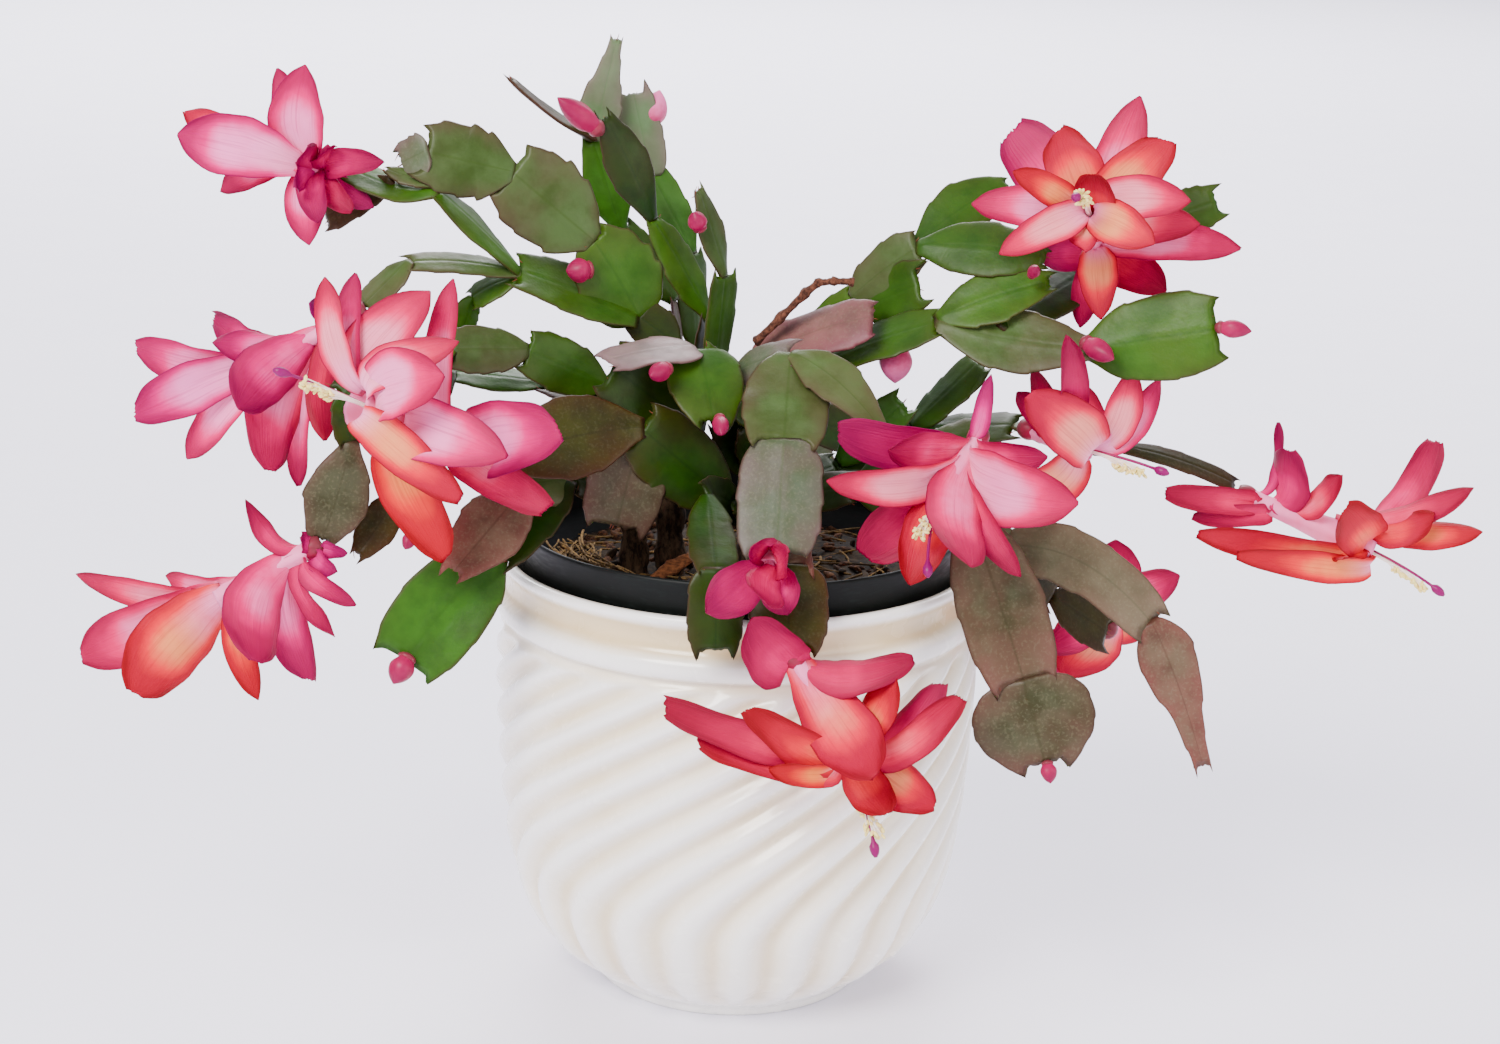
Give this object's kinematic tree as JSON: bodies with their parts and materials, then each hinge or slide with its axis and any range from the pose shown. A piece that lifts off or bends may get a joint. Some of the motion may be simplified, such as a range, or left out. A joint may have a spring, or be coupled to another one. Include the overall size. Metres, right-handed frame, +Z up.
{
  "type": "potted christmas cactus",
  "caption": "Flowering leaf cactus with arching flat-segmented branches, pink and coral flowers and buds, in a nursery pot inside a ribbed ivory glazed cover pot.",
  "frame": {"origin": "centre of the cover pot's foot, on the surface that it rests on", "axes": "+Z up through the pot's axis, -Y towards the picture's viewer, +X to the right in the picture"},
  "size_m": [0.3983, 0.2197, 0.2807],
  "materials": {
    "ivory_glaze": "gloss",
    "nursery_plastic": "satin",
    "potting_soil": "matte",
    "bark_chip": "matte",
    "woody_stem": "matte",
    "leaf_green": "satin",
    "leaf_bronze": "satin",
    "leaf_mauve": "satin",
    "leaf_pale": "satin",
    "petal_pink": "satin",
    "stamen_cream": "satin",
    "bud_pink": "satin"
  },
  "bodies": {
    "root": {"cover_pot": "ivory_glaze", "nursery_pot": "nursery_plastic", "potting_soil": "potting_soil", "bark_chip": "bark_chip", "woody_stem_left": "woody_stem", "woody_stem_middle": "woody_stem", "woody_stem_right": "woody_stem", "branch_upper_left": "leaf_green", "branch_far_left": "leaf_bronze", "branch_left_long": "leaf_green", "branch_left_low": "leaf_mauve", "branch_tall_pale": "leaf_pale", "branch_tall_green": "leaf_green", "branch_tall_back": "leaf_green", "branch_upright": "leaf_green", "branch_front_left": "leaf_green", "branch_front_low": "leaf_bronze", "branch_center_shade": "leaf_green", "branch_center_round": "leaf_green", "branch_center_hanging": "leaf_pale", "branch_over_rim_left": "leaf_mauve", "branch_over_rim_right": "leaf_bronze", "branch_mauve": "leaf_mauve", "branch_right_upper": "leaf_green", "branch_right_long": "leaf_green", "branch_right_low": "leaf_bronze", "branch_right_hanging": "leaf_green", "branch_right_arch": "leaf_bronze", "branch_back_left": "leaf_green", "branch_back_right": "leaf_green", "flower_1": "petal_pink", "flower_2": "petal_pink", "flower_3": "petal_pink", "flower_4": "petal_pink", "flower_5": "petal_pink", "flower_6": "petal_pink", "flower_7": "petal_pink", "flower_8": "petal_pink", "flower_9": "petal_pink", "flower_10": "petal_pink", "flower_11": "petal_pink", "stamens_flower_3": "stamen_cream", "stamens_flower_5": "stamen_cream", "stamens_flower_6": "stamen_cream", "stamens_flower_7": "stamen_cream", "stamens_flower_8": "stamen_cream", "stamens_flower_9": "stamen_cream", "bud_1": "bud_pink", "bud_2": "bud_pink", "bud_3": "bud_pink", "bud_4": "bud_pink", "bud_5": "bud_pink", "bud_6": "bud_pink", "bud_7": "bud_pink", "bud_8": "bud_pink", "bud_9": "bud_pink", "bud_10": "bud_pink", "bud_11": "bud_pink"}
  },
  "joints": []
}
